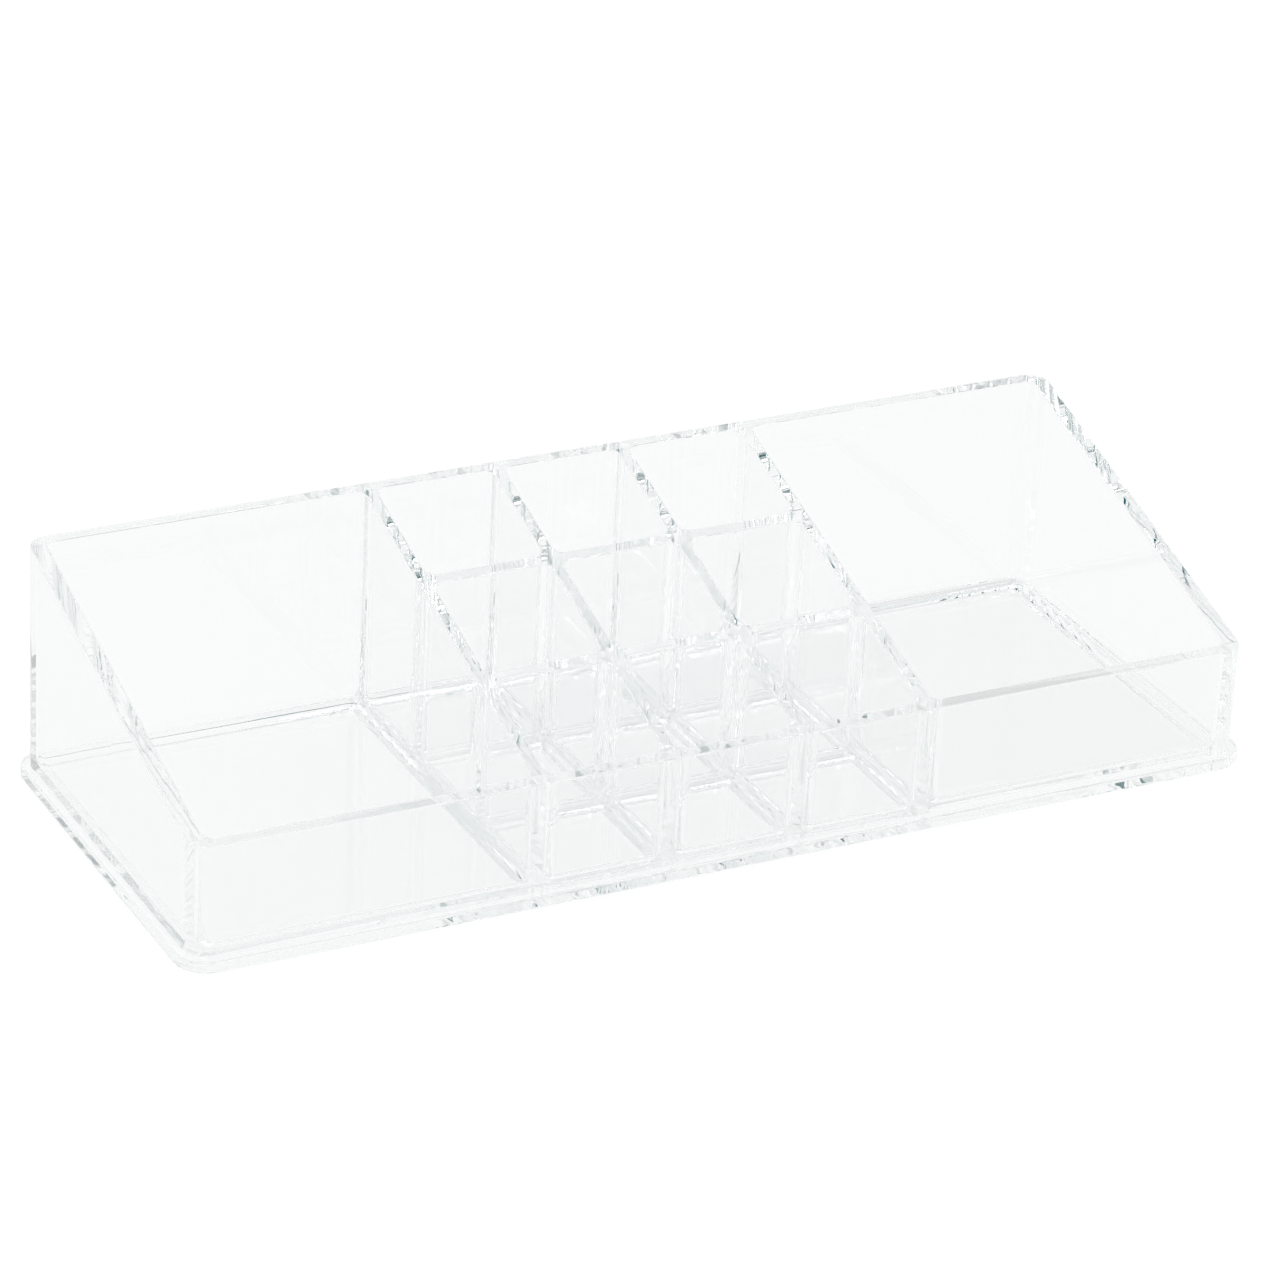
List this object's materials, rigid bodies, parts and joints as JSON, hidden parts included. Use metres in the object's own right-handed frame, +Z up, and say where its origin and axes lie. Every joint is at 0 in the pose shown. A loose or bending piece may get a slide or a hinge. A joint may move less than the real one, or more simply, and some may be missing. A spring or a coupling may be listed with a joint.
{
  "type": "vanity organizer",
  "caption": "Clear, open-topped make-up organizer: small square lipstick pockets between two large side compartments, with a tall back wall, a low front wall and sloping sides.",
  "frame": {"origin": "under the middle of the base plate, on the surface that it stands on", "axes": "+X to the right along the front, +Y from the low front wall to the tall back wall, +Z up"},
  "size_m": [0.24, 0.094, 0.052],
  "materials": {
    "clear_plastic": "clear, colourless and polished, with a faint green-grey tint seen through its edges"
  },
  "bodies": {
    "root": {"base_plate": "clear_plastic", "back_wall": "clear_plastic", "front_wall": "clear_plastic", "left_wall": "clear_plastic", "right_wall": "clear_plastic", "outer_left_partition": "clear_plastic", "inner_left_partition": "clear_plastic", "inner_right_partition": "clear_plastic", "outer_right_partition": "clear_plastic", "front_divider": "clear_plastic", "rear_divider": "clear_plastic"}
  },
  "joints": []
}
